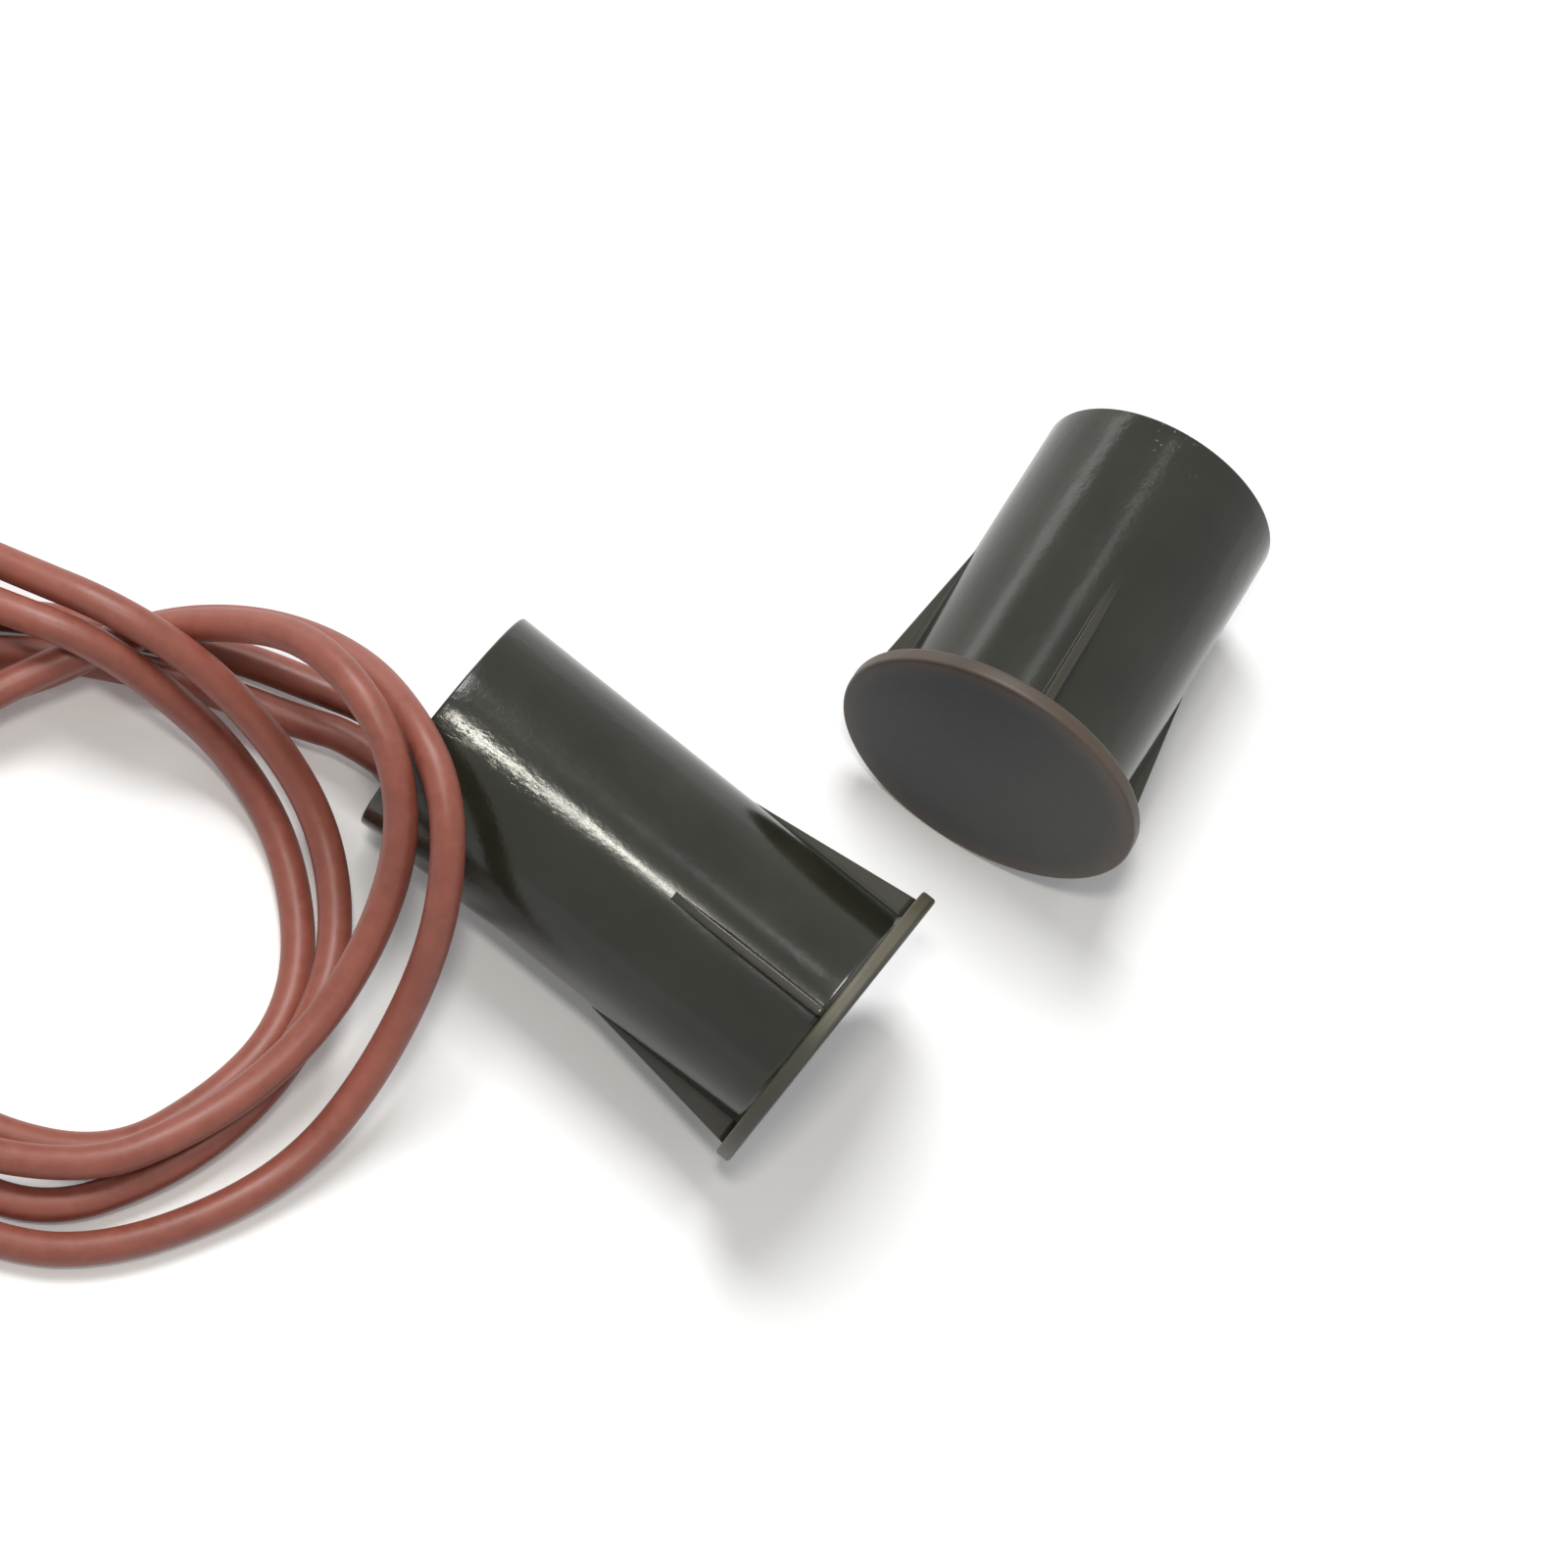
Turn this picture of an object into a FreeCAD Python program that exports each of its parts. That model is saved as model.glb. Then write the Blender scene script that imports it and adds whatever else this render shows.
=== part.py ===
import FreeCAD
import Part
import math
import os

# Recessed magnetic contact: a reed switch half with two free leads, and its magnet half.
# Millimetres, +Z up. The origin is under the middle of the two halves, on the surface they lie on.
# Each half has a local frame: x along its axis from the back end to the flange, z up.

BODY_R = 9.4
WALL = 1.0
BORE_R = BODY_R - WALL
FLANGE_R = 12.0
FLANGE_T = 1.2
FACE_T = 1.6
FLANGE_ROUND = 0.25
RIM_ROUND = 0.2

SWITCH_LENGTH = 36.0
MAGNET_HALF_LENGTH = 28.0

RIB_LENGTH = 14.0
RIB_HEIGHT = 1.8
RIB_WIDTH = 1.25
RIB_ROOT = 0.5
RIB_COUNT = 4
SWITCH_RIB_ANGLE = -19.0
MAGNET_RIB_ANGLE = -1.5

# Where each half lies: plan point of its back end, heading of its flange, and tilt.
# A half rests on its flange rim and on the edge of its back end.
SWITCH_BACK = (-20.45, -20.30)
SWITCH_HEADING = 0.0
MAGNET_BACK = (9.62, 31.02)
MAGNET_HEADING = -84.3
SWITCH_TILT = math.degrees(math.atan((FLANGE_R - BODY_R) / (SWITCH_LENGTH - FLANGE_T)))
MAGNET_TILT = math.degrees(math.atan((FLANGE_R - BODY_R) / (MAGNET_HALF_LENGTH - FLANGE_T)))
REST_DROP = 0.016

# Epoxy fill: its back surface lies just inside the rim, with a lump round the leads.
FILL_RECESS = 0.8
LUMP_R = 3.05
LUMP_LENGTH = 4.25
LUMP_Y = -1.85
LUMP_Z = -4.75

# Reed capsule on the axis.
GLASS_R = 1.3
GLASS_BORE_R = 0.9
GLASS_START = 14.5
GLASS_LENGTH = 14.0
GLASS_SEAL = 2.4
BUFFER_R = 2.0
BUFFER_OVERLAP = 0.5
REED_WIRE_R = 0.3
BLADE_WIDTH = 1.1
BLADE_THICKNESS = 0.2
BLADE_GAP = 0.1
BLADE_OVERLAP = 1.2
JOINT_X = 11.2
HAIRPIN_X = 30.5
RETURN_Y = -2.7

# Lead wire: jacket, stranded core, solder barrel and heat-shrink sleeve.
LEAD_R = 1.25
CORE_R = 0.5
CORE_RUN_IN = 2.2
CORE_RUN_OUT = 2.6
SOLDER_R = 0.85
SOLDER_LENGTH = 2.4
SLEEVE_R = 1.15
SLEEVE_START = 9.4
SLEEVE_LENGTH = 4.2
LEAD_INSIDE = 3.0
EXIT_STEP = 4.0
EXIT_Y_1 = -3.2
EXIT_Y_2 = -0.5
EXIT_Z = -5.0
TIP_LENGTH = 6.0
TIP_R = 0.55

# Magnet.
MAGNET_GAP = 0.5
MAGNET_R = BORE_R - MAGNET_GAP
MAGNET_LENGTH = 12.0
MAGNET_CHAMFER = 0.5

# Free route of each lead after its first two points, in the order it is walked from the switch.
LEAD_1_ROUTE = [
    (-28.4, -25.2, 3.05), (-34.1, -26.8, 1.70), (-40.0, -29.6, 1.25), (-45.6, -33.2, 1.25),
    (-50.6, -37.7, 1.25), (-54.7, -43.2, 1.25), (-56.9, -50.0, 1.25), (-55.6, -57.1, 1.25),
    (-51.2, -62.7, 2.40), (-44.7, -66.5, 4.20), (-36.1, -68.1, 4.40), (-27.0, -66.9, 4.10),
    (-18.7, -61.3, 4.00), (-15.4, -54.9, 4.20), (-13.5, -48.6, 5.40), (-13.1, -42.2, 7.60),
    (-14.5, -36.0, 11.80), (-17.3, -31.7, 16.80), (-21.8, -28.7, 20.30), (-27.3, -26.7, 20.30),
    (-32.1, -25.4, 16.80), (-36.5, -26.2, 11.80), (-40.4, -28.8, 8.10), (-43.2, -33.2, 7.00),
    (-46.9, -41.2, 4.90), (-48.8, -48.7, 2.10), (-46.9, -56.0, 1.25), (-41.6, -61.2, 1.25),
    (-34.3, -63.8, 1.25), (-26.5, -63.7, 1.25), (-18.2, -59.0, 1.25), (-15.3, -50.8, 1.25),
    (-14.7, -43.7, 1.25), (-17.3, -37.7, 1.25), (-23.5, -32.1, 1.25), (-30.4, -30.5, 3.60),
    (-36.7, -31.8, 7.80), (-42.9, -33.4, 10.50), (-48.6, -35.3, 9.80), (-57.3, -37.0, 5.80),
    (-64.3, -40.3, 2.20), (-69.8, -45.4, 1.25), (-73.5, -52.7, 1.25), (-74.2, -60.8, 1.25),
    (-70.7, -67.6, 1.25), (-64.7, -71.4, 1.25),
]
LEAD_2_ROUTE = [
    (-28.5, -22.0, 3.10), (-34.6, -23.7, 1.75), (-40.5, -26.7, 1.25), (-46.5, -30.6, 1.25),
    (-52.6, -35.2, 1.25), (-57.9, -40.8, 1.25), (-60.8, -47.8, 1.25), (-60.1, -55.6, 1.25),
    (-55.8, -62.6, 1.25), (-48.9, -68.0, 1.25), (-40.3, -71.7, 1.25), (-30.9, -72.3, 1.25),
    (-19.9, -69.1, 1.25), (-14.2, -64.4, 1.25), (-9.8, -56.9, 1.25), (-7.6, -50.0, 2.20),
    (-7.8, -43.4, 5.80), (-9.7, -36.9, 11.80), (-12.7, -32.7, 17.60), (-17.2, -28.4, 20.60),
    (-22.8, -25.3, 19.00), (-28.0, -22.8, 14.00), (-34.0, -22.7, 8.60), (-38.9, -25.4, 5.40),
    (-42.1, -29.8, 4.30), (-44.2, -35.1, 3.30), (-50.2, -43.5, 1.60), (-52.8, -51.1, 1.25),
    (-50.4, -58.7, 1.25), (-44.8, -64.3, 1.25), (-37.0, -67.6, 1.25), (-28.5, -68.2, 1.25),
    (-19.4, -65.8, 1.25), (-14.4, -57.1, 1.60), (-12.7, -48.6, 2.90), (-13.9, -40.2, 3.70),
    (-17.2, -34.5, 3.60), (-22.4, -30.2, 4.20), (-28.9, -28.9, 7.00), (-36.3, -29.6, 10.90),
    (-43.4, -31.1, 12.00), (-50.0, -32.3, 9.20), (-58.9, -33.5, 4.80), (-65.6, -35.6, 1.80),
    (-71.2, -38.7, 1.25),
]

V = FreeCAD.Vector


def place(back, heading, tilt):
    height = BODY_R * math.cos(math.radians(tilt)) - REST_DROP
    return FreeCAD.Placement(V(back[0], back[1], height), FreeCAD.Rotation(heading, -tilt, 0.0))


SWITCH = place(SWITCH_BACK, SWITCH_HEADING, SWITCH_TILT)
MAGNET = place(MAGNET_BACK, MAGNET_HEADING, MAGNET_TILT)


def rod(radius, start, end, y=0.0, z=0.0):
    return Part.makeCylinder(radius, end - start, V(start, y, z), V(1, 0, 0))


def ring(outer, inner, start, end, y=0.0, z=0.0):
    return rod(outer, start, end, y, z).cut(rod(inner, start, end, y, z))


def round_edges(solid, radius, at_x, at_r):
    chosen = []
    for edge in solid.Edges:
        box = edge.BoundBox
        same_x = abs(box.XMin - at_x) < 0.01 and abs(box.XMax - at_x) < 0.01
        if same_x and abs(box.YMax - at_r) < 0.02:
            chosen.append(edge)
    return solid.makeFillet(radius, chosen)


def rib(length, angle):
    start = length - FLANGE_T - RIB_LENGTH
    end = length - FLANGE_T
    outline = Part.makePolygon([
        V(start, -RIB_WIDTH / 2.0, BODY_R - RIB_ROOT),
        V(end, -RIB_WIDTH / 2.0, BODY_R - RIB_ROOT),
        V(end, -RIB_WIDTH / 2.0, BODY_R + RIB_HEIGHT),
        V(start, -RIB_WIDTH / 2.0, BODY_R - 0.02),
        V(start, -RIB_WIDTH / 2.0, BODY_R - RIB_ROOT),
    ])
    solid = Part.Face(outline).extrude(V(0, RIB_WIDTH, 0))
    solid.rotate(V(0, 0, 0), V(1, 0, 0), -angle)
    return solid


def housing(length, rib_angle):
    body = round_edges(rod(BODY_R, 0.0, length - FLANGE_T), RIM_ROUND, 0.0, BODY_R)
    flange = rod(FLANGE_R, length - FLANGE_T, length)
    flange = round_edges(flange, FLANGE_ROUND, length, FLANGE_R)
    flange = round_edges(flange, FLANGE_ROUND, length - FLANGE_T, FLANGE_R)
    solid = body.fuse(flange)
    for index in range(RIB_COUNT):
        solid = solid.fuse(rib(length, rib_angle + index * 360.0 / RIB_COUNT))
    solid = solid.cut(rod(BORE_R, -1.0, length - FACE_T))
    return solid.removeSplitter()


def lump():
    nose = V(-LUMP_LENGTH, 0, 0)
    middle_x = -LUMP_LENGTH * math.cos(math.radians(45.0))
    middle = V(middle_x, LUMP_R * math.sin(math.radians(45.0)), 0)
    rim = V(0, LUMP_R, 0)
    back = V(FILL_RECESS + 1.0, LUMP_R, 0)
    centre = V(FILL_RECESS + 1.0, 0, 0)
    edges = [
        Part.Arc(nose, middle, rim).toShape(),
        Part.LineSegment(rim, back).toShape(),
        Part.LineSegment(back, centre).toShape(),
        Part.LineSegment(centre, nose).toShape(),
    ]
    face = Part.Face(Part.Wire(edges))
    solid = face.revolve(V(0, 0, 0), V(1, 0, 0), 360.0)
    solid.translate(V(0, LUMP_Y, LUMP_Z))
    return solid


def unit(vector):
    result = V(vector)
    result.normalize()
    return result


def tube(points, radius, name=None):
    """Round tube along straight runs joined by tangent arcs."""
    corners = [V(*p) for p in points]
    edges = []
    radii = []
    start = corners[0]
    length = 0.0
    for index in range(1, len(corners) - 1):
        corner = corners[index]
        run_in = corner.sub(corners[index - 1])
        run_out = corners[index + 1].sub(corner)
        reach = 0.45 * min(run_in.Length, run_out.Length)
        turn = run_in.getAngle(run_out)
        bend = reach / math.tan(turn / 2.0)
        radii.append(bend)
        a = corner.sub(unit(run_in).multiply(reach))
        b = corner.add(unit(run_out).multiply(reach))
        inward = unit(unit(run_out).sub(unit(run_in)))
        sag = bend / math.cos(turn / 2.0) - bend
        middle = corner.add(inward.multiply(sag))
        edges.append(Part.LineSegment(start, a).toShape())
        edges.append(Part.Arc(a, middle, b).toShape())
        length += a.sub(start).Length + bend * turn
        start = b
    edges.append(Part.LineSegment(start, corners[-1]).toShape())
    length += corners[-1].sub(start).Length
    path = Part.Wire(edges)
    section = Part.Wire([Part.Circle(corners[0], corners[1].sub(corners[0]), radius).toShape()])
    solid = path.makePipeShell([section], True, False, 1)
    if name:
        expected = math.pi * radius * radius * length
        smallest = min(radii)
        print(name, "length %.1f mm, smallest arc radius %.1f mm" % (length, smallest))
        print(name, "arc radii", " ".join("%.1f" % r for r in radii))
        print(name, "volume over section times length %.4f" % (solid.Volume / expected))
    return solid


def core(exit_y, joint_y):
    return tube([
        (LEAD_INSIDE, exit_y, EXIT_Z),
        (LEAD_INSIDE + CORE_RUN_IN, exit_y, EXIT_Z),
        (JOINT_X - CORE_RUN_OUT, joint_y, 0.0),
        (JOINT_X, joint_y, 0.0),
    ], CORE_R)


def solder(joint_y):
    start = JOINT_X - SOLDER_LENGTH / 2.0
    end = JOINT_X + SOLDER_LENGTH / 2.0
    barrel = rod(SOLDER_R, start, end, joint_y)
    barrel = barrel.cut(rod(CORE_R, start, JOINT_X, joint_y))
    return barrel.cut(rod(REED_WIRE_R, JOINT_X, end, joint_y))


def sleeve(joint_y):
    return ring(SLEEVE_R, SOLDER_R, SLEEVE_START, SLEEVE_START + SLEEVE_LENGTH, joint_y)


def glass():
    end = GLASS_START + GLASS_LENGTH
    capsule = rod(GLASS_R, GLASS_START, end)
    capsule = round_edges(capsule, 0.5, GLASS_START, GLASS_R)
    capsule = round_edges(capsule, 0.5, end, GLASS_R)
    capsule = capsule.cut(rod(GLASS_BORE_R, GLASS_START + GLASS_SEAL, end - GLASS_SEAL))
    return capsule.cut(rod(REED_WIRE_R, GLASS_START - 1.0, end + 1.0))


def blade(wire_start, wire_end, flat_start, flat_end, side):
    low = BLADE_GAP / 2.0
    if side < 0:
        low = -BLADE_GAP / 2.0 - BLADE_THICKNESS
    corner = V(flat_start, -BLADE_WIDTH / 2.0, low)
    flat = Part.makeBox(flat_end - flat_start, BLADE_WIDTH, BLADE_THICKNESS, corner)
    return rod(REED_WIRE_R, wire_start, wire_end).fuse(flat).removeSplitter()


def return_wire():
    middle_y = RETURN_Y / 2.0
    straight = Part.LineSegment(V(JOINT_X, RETURN_Y, 0), V(HAIRPIN_X, RETURN_Y, 0)).toShape()
    apex = V(HAIRPIN_X - middle_y, middle_y, 0)
    bend = Part.Arc(V(HAIRPIN_X, RETURN_Y, 0), apex, V(HAIRPIN_X, 0, 0)).toShape()
    path = Part.Wire([straight, bend])
    section = Part.Wire([Part.Circle(V(JOINT_X, RETURN_Y, 0), V(1, 0, 0), REED_WIRE_R).toShape()])
    return path.makePipeShell([section], True, False, 1)


def magnet():
    end = MAGNET_HALF_LENGTH - FACE_T
    start = end - MAGNET_LENGTH
    solid = rod(MAGNET_R, start, end)
    chosen = [e for e in solid.Edges if e.BoundBox.XMax - e.BoundBox.XMin < 0.01]
    return solid.makeChamfer(MAGNET_CHAMFER, chosen)


def route_start(exit_y):
    inside = SWITCH.multVec(V(LEAD_INSIDE, exit_y, EXIT_Z))
    outside = SWITCH.multVec(V(-EXIT_STEP, exit_y, EXIT_Z))
    return [tuple(inside), tuple(outside)]


def tip(points):
    last = V(*points[-1])
    along = unit(last.sub(V(*points[-2])))
    wire = Part.makeCylinder(TIP_R, TIP_LENGTH - TIP_R, last, along)
    end = last.add(V(along).multiply(TIP_LENGTH - TIP_R))
    return wire.fuse(Part.makeSphere(TIP_R, end)).removeSplitter()


def placed(solid, placement):
    moved = solid.copy()
    moved.transformShape(placement.toMatrix(), True)
    return moved


LEAD_1 = route_start(EXIT_Y_1) + LEAD_1_ROUTE
LEAD_2 = route_start(EXIT_Y_2) + LEAD_2_ROUTE

glass_end = GLASS_START + GLASS_LENGTH
glass_middle = GLASS_START + GLASS_LENGTH / 2.0
flat_rear_start = GLASS_START + GLASS_SEAL + 0.4
flat_front_end = glass_end - GLASS_SEAL - 0.4

local = {}
local["switch_housing"] = housing(SWITCH_LENGTH, SWITCH_RIB_ANGLE)
local["reed_glass"] = glass()
local["reed_buffer"] = ring(BUFFER_R, GLASS_R, GLASS_START - BUFFER_OVERLAP, glass_end + BUFFER_OVERLAP)
local["reed_blade_rear"] = blade(
    JOINT_X, flat_rear_start + 0.4, flat_rear_start, glass_middle + BLADE_OVERLAP / 2.0, 1)
local["reed_blade_front"] = blade(
    flat_front_end - 0.4, HAIRPIN_X, glass_middle - BLADE_OVERLAP / 2.0, flat_front_end, -1)
local["return_wire"] = return_wire()
local["lead_1_core"] = core(EXIT_Y_1, RETURN_Y)
local["lead_2_core"] = core(EXIT_Y_2, 0.0)
local["solder_1"] = solder(RETURN_Y)
local["solder_2"] = solder(0.0)
local["sleeve_1"] = sleeve(RETURN_Y)
local["sleeve_2"] = sleeve(0.0)

# The fill takes all the room that the reed, the wires and the leads leave in the bore.
fill = rod(BORE_R, FILL_RECESS, SWITCH_LENGTH - FACE_T).fuse(lump()).removeSplitter()
glass_room = round_edges(rod(GLASS_R, GLASS_START, glass_end), 0.5, GLASS_START, GLASS_R)
glass_room = round_edges(glass_room, 0.5, glass_end, GLASS_R)
wire_room = rod(REED_WIRE_R, JOINT_X, HAIRPIN_X)
for room in (glass_room, wire_room):
    fill = fill.cut(room)
for name in ("reed_buffer", "return_wire", "lead_1_core", "lead_2_core",
             "solder_1", "solder_2", "sleeve_1", "sleeve_2"):
    fill = fill.cut(local[name])

nodes = {}
for name in local:
    nodes[name] = placed(local[name], SWITCH)
fill = placed(fill, SWITCH)
fill = fill.cut(tube(LEAD_1[:4], LEAD_R))
fill = fill.cut(tube(LEAD_2[:4], LEAD_R))
nodes["switch_potting"] = fill

nodes["lead_1"] = tube(LEAD_1, LEAD_R, "lead_1")
nodes["lead_2"] = tube(LEAD_2, LEAD_R, "lead_2")
nodes["lead_1_tip"] = tip(LEAD_1)
nodes["lead_2_tip"] = tip(LEAD_2)

nodes["magnet_housing"] = placed(housing(MAGNET_HALF_LENGTH, MAGNET_RIB_ANGLE), MAGNET)
nodes["magnet"] = placed(magnet(), MAGNET)
magnet_fill = rod(BORE_R, FILL_RECESS, MAGNET_HALF_LENGTH - FACE_T).cut(magnet())
nodes["magnet_potting"] = placed(magnet_fill, MAGNET)

os.makedirs("parts", exist_ok=True)
for name in sorted(nodes):
    shape = nodes[name]
    if len(shape.Solids) == 1:
        shape = shape.Solids[0]
    shape.exportStep("parts/" + name + ".step")
    box = shape.BoundBox
    print(name, "solids", len(shape.Solids), "valid", shape.isValid(), "volume %.2f" % shape.Volume,
          "x %.2f %.2f y %.2f %.2f z %.2f %.2f" % (box.XMin, box.XMax, box.YMin, box.YMax, box.ZMin, box.ZMax))
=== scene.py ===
import bpy
import bmesh
import math
from mathutils import Euler, Matrix, Vector, noise


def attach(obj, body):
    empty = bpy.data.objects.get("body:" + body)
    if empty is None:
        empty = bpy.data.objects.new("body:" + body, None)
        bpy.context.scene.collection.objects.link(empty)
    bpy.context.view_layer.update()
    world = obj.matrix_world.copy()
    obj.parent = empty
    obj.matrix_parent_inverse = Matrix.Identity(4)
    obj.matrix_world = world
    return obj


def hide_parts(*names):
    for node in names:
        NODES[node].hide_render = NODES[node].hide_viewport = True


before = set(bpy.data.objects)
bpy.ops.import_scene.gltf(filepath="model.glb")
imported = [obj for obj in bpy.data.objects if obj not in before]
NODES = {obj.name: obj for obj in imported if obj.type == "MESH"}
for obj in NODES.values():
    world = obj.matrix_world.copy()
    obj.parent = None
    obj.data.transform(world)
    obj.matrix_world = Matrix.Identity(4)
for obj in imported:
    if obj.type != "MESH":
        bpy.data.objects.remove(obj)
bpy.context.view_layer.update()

MM = 0.001

# Sizes of the two halves, as in the part's source, in millimetres.
BODY_R = 9.4
BORE_R = 8.4
FLANGE_R = 12.0
FLANGE_T = 1.2
FACE_T = 1.6
FILL_RECESS = 0.8
REST_DROP = 0.016
RIB_LENGTH = 14.0
RIB_HEIGHT = 1.8
RIB_COUNT = 4
LEAD_R = 1.25
EXIT_X = -3.4
EXIT_Y = (-3.2, -0.5)
EXIT_Z = -5.0
LUMP_R = 2.75
LUMP_LENGTH = 4.1
LUMP_Y = -1.85
LUMP_Z = -4.75

# Finer detail than the solids have, in millimetres.
RIB_WIDTH = 0.7
RIB_RUN_OUT = 0.6
RIB_SINK = 0.06
MOUTH_INNER_ROUND = 0.14
MOUTH_OUTER_ROUND = 0.24
BORE_END_BEVEL = 0.3
FLANGE_ROOT_ROUND = 0.45
FLANGE_EDGE_ROUND = 0.25
FILL_CLIMB = 0.5
FILL_CLIMB_REACH = 0.55
TIP_LENGTH = 5.85
TIP_R = 0.55
TIP_OVERLAP = 0.4
TIP_WORN = 0.25
STRANDS = 7
STRAND_LAY = 9.0

# Points round a turned piece.
ROUND_STEPS = 224


class Half:
    """One half of the contact: its length, where its back end lies, how it is turned, its rim colours,
    and how much painted highlight and painted shade its surface gets.
    """

    def __init__(self, name, length, back, heading, rib_angle, rim_colours,
                 scuff_glint_share, lit_slope, edge_tint, low_shade):
        self.name = name
        self.rim_colours = rim_colours
        self.scuff_glint_share = scuff_glint_share
        self.lit_slope = lit_slope
        self.edge_tint = edge_tint
        self.low_shade = low_shade
        self.length = length
        self.rib_angle = math.radians(rib_angle)
        tilt = math.atan((FLANGE_R - BODY_R) / (length - FLANGE_T))
        height = BODY_R * math.cos(tilt) - REST_DROP
        self.turn = Euler((0.0, -tilt, math.radians(heading)), "XYZ")
        self.back = Vector((back[0], back[1], height)) * MM
        self.place = Matrix.Translation(self.back) @ self.turn.to_matrix().to_4x4()


SWITCH = Half("switch", length=36.0, back=(-20.45, -20.30), heading=0.0, rib_angle=-19.0,
              rim_colours=((0.075, 0.068, 0.044, 1.0), (0.125, 0.114, 0.078, 1.0)),
              scuff_glint_share=1.0, lit_slope=0.344, edge_tint=0.3, low_shade=0.85)
MAGNET = Half("magnet", length=28.0, back=(9.62, 31.02), heading=-84.3, rib_angle=-1.5,
              rim_colours=((0.062, 0.044, 0.033, 1.0), (0.092, 0.068, 0.053, 1.0)),
              scuff_glint_share=0.0, lit_slope=0.22, edge_tint=1.0, low_shade=0.0)


# Camera at the photograph's viewing angle.
VIEW_AZIMUTH = math.radians(-5.92)
VIEW_ELEVATION = math.radians(66.49)
VIEW_ROLL = math.radians(45.72)
VIEW_TARGET = Vector((1.66, -6.21, 8.0)) * MM
VIEW_DISTANCE = 537.61 * MM
VIEW_LENS = 168.93


def set_camera():
    """Places the camera from its azimuth, elevation, roll, target and distance."""
    level = Vector((math.cos(VIEW_AZIMUTH), math.sin(VIEW_AZIMUTH), 0.0))
    back = Vector((math.sin(VIEW_AZIMUTH) * math.cos(VIEW_ELEVATION),
                   -math.cos(VIEW_AZIMUTH) * math.cos(VIEW_ELEVATION), math.sin(VIEW_ELEVATION)))
    rise = back.cross(level)
    right = level * math.cos(VIEW_ROLL) + rise * math.sin(VIEW_ROLL)
    up = rise * math.cos(VIEW_ROLL) - level * math.sin(VIEW_ROLL)
    data = bpy.data.cameras.new("camera")
    data.lens = VIEW_LENS
    data.sensor_width = 36.0
    data.clip_start = 0.01
    data.clip_end = 20.0
    camera = bpy.data.objects.new("camera", data)
    bpy.context.scene.collection.objects.link(camera)
    camera.matrix_world = Matrix.Translation(VIEW_TARGET + back * VIEW_DISTANCE) @ Matrix(
        (right, up, back)).transposed().to_4x4()
    bpy.context.scene.camera = camera


set_camera()

# Routes of the leads' centre lines, in millimetres, walked from inside the fill to the free end.
LEAD_1_ROUTE = [
    (-17.09, -23.50, 4.60), (-24.07, -23.50, 4.07),
    (-28.4, -25.2, 3.05), (-34.1, -26.8, 1.70), (-40.0, -29.6, 1.25), (-45.6, -33.2, 1.25),
    (-50.6, -37.7, 1.25), (-54.7, -43.2, 1.25), (-56.9, -50.0, 1.25), (-55.6, -57.1, 1.25),
    (-51.2, -62.7, 2.40), (-44.7, -66.5, 4.20), (-36.1, -68.1, 4.40), (-27.0, -66.9, 4.10),
    (-18.7, -61.3, 4.00), (-15.4, -54.9, 4.20), (-13.5, -48.6, 5.40), (-13.1, -42.2, 7.60),
    (-14.5, -36.0, 11.80), (-17.3, -31.7, 16.80), (-21.8, -28.7, 20.30), (-27.3, -26.7, 20.30),
    (-32.1, -25.4, 16.80), (-36.5, -26.2, 11.80), (-40.4, -28.8, 8.10), (-43.2, -33.2, 7.00),
    (-46.9, -41.2, 4.90), (-48.8, -48.7, 2.10), (-46.9, -56.0, 1.25), (-41.6, -61.2, 1.25),
    (-34.3, -63.8, 1.25), (-26.5, -63.7, 1.25), (-18.2, -59.0, 1.25), (-15.3, -50.8, 1.25),
    (-14.7, -43.7, 1.25), (-17.3, -37.7, 1.25), (-23.5, -32.1, 1.25), (-30.4, -30.5, 3.60),
    (-36.7, -31.8, 7.80), (-42.9, -33.4, 10.50), (-48.6, -35.3, 9.80), (-57.3, -37.0, 5.80),
    (-64.3, -40.3, 2.20), (-69.8, -45.4, 1.25), (-73.5, -52.7, 1.25), (-74.2, -60.8, 1.25),
    (-70.7, -67.6, 1.25), (-64.7, -71.4, 1.25),
]
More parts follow.
